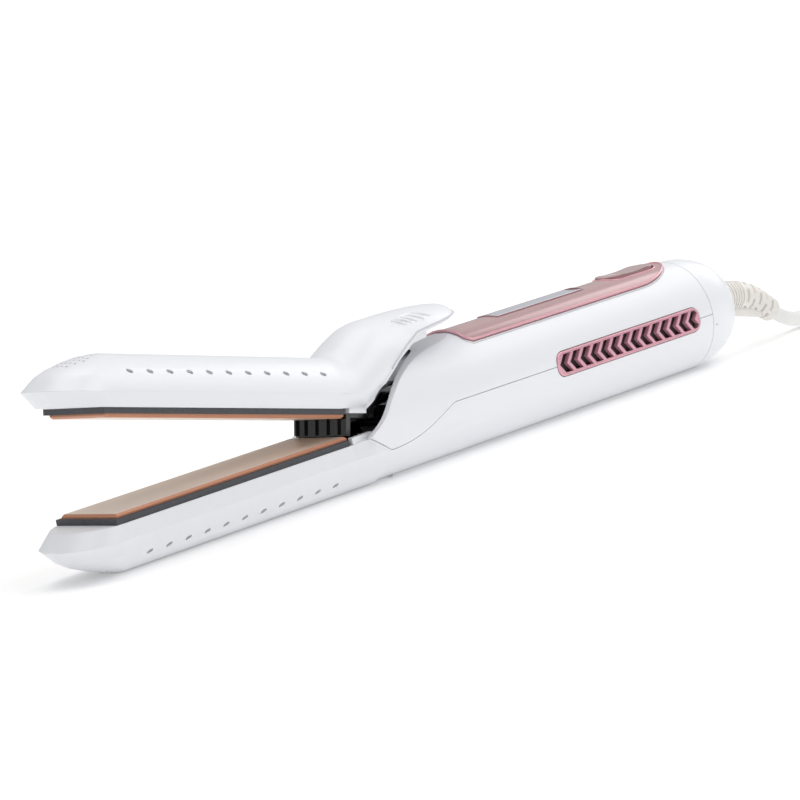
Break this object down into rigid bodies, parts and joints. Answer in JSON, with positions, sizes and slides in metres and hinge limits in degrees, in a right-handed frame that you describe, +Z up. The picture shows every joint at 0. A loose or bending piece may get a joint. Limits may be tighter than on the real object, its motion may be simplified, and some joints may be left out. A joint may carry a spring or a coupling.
{
  "type": "hair styling tongs",
  "caption": "Hand-held heated hair tongs with vented arms on a sprung hinge, thumb lever, round handle with control panel and intake grilles, and mains lead folded into a hank.",
  "frame": {"origin": "centre of the object's underside, cord left out, on the surface it lies on", "axes": "+X along the handle towards the cord, +Y to the side, +Z up through the control panel"},
  "size_m": [0.541, 0.0588, 0.0678],
  "materials": {
    "white_shell": "satin moulded white",
    "rose_panel": "rose-gold metallic lacquer",
    "rose_grille": "pink-rose metallic lacquer",
    "display": "clear glossy window",
    "copper_plate": "copper-coloured ceramic coat, satin",
    "carrier_black": "fine-textured black",
    "hinge_black": "glossy black",
    "steel": "bright steel",
    "circuit": "solder-masked board",
    "ceramic": "sintered",
    "heater_clamp": "extruded",
    "motor": "drawn can",
    "fan_grey": "moulded",
    "filter_mesh": "fine dark mesh",
    "sleeve_ivory": "soft satin ivory",
    "cord_white": "satin PVC",
    "wire": "silicone lead",
    "tie": "soft strap",
    "plug_white": "moulded PVC",
    "pin_nickel": "nickel-plated"
  },
  "bodies": {
    "handle": {"lower_housing": "white_shell", "upper_housing": "white_shell", "recess_floor": "white_shell", "end_cap": "white_shell", "cord_gland": "hinge_black", "control_panel": "rose_panel", "display_window": "display", "display_module": "hinge_black", "control_board": "circuit", "key_switches": "hinge_black", "grille_left": "rose_grille", "grille_right": "rose_grille", "filter_left": "filter_mesh", "filter_right": "filter_mesh", "fan_housing": "fan_grey", "fan_motor": "motor", "air_duct": "fan_grey", "lower_carrier": "carrier_black", "lower_plate": "copper_plate", "lower_heater": "heater_clamp", "lower_heater_core": "ceramic", "hinge_bracket": "hinge_black", "hinge_pin": "steel", "bracket_screws": "steel", "jaw_spring": "steel", "upper_wires": "wire", "strain_relief": "sleeve_ivory", "cord_tube": "cord_white", "cord_coil": "cord_white", "cord_tail": "cord_white", "cord_tie": "tie", "plug_body": "plug_white", "plug_pins": "pin_nickel"},
    "upper_arm": {"upper_shell": "white_shell", "upper_liner": "white_shell", "upper_carrier": "carrier_black", "upper_plate": "copper_plate", "upper_heater": "heater_clamp", "upper_heater_core": "ceramic", "hinge_knuckle": "hinge_black", "knuckle_screws": "steel"},
    "rocker": {"rocker_key": "rose_panel"},
    "fan": {"fan_rotor": "fan_grey"}
  },
  "joints": [
    {"name": "jaw_hinge", "type": "hinge", "parent": "handle", "child": "upper_arm", "pos_m": [-0.0202, 0, 0.02105], "axis": [0, 1, 0], "range_deg": [-14, 0], "stiffness_Nm_per_rad": 0.6, "springref_deg": 20.05},
    {"name": "key_rock", "type": "hinge", "parent": "handle", "child": "rocker", "pos_m": [0.1163, 0, 0.04], "axis": [0, 1, 0], "range_deg": [-2.5, 2.5], "stiffness_Nm_per_rad": 0.02},
    {"name": "fan_spin", "type": "hinge", "parent": "handle", "child": "fan", "pos_m": [0.0303, 0, 0.0195], "axis": [1, 0, 0], "continuous": true}
  ]
}
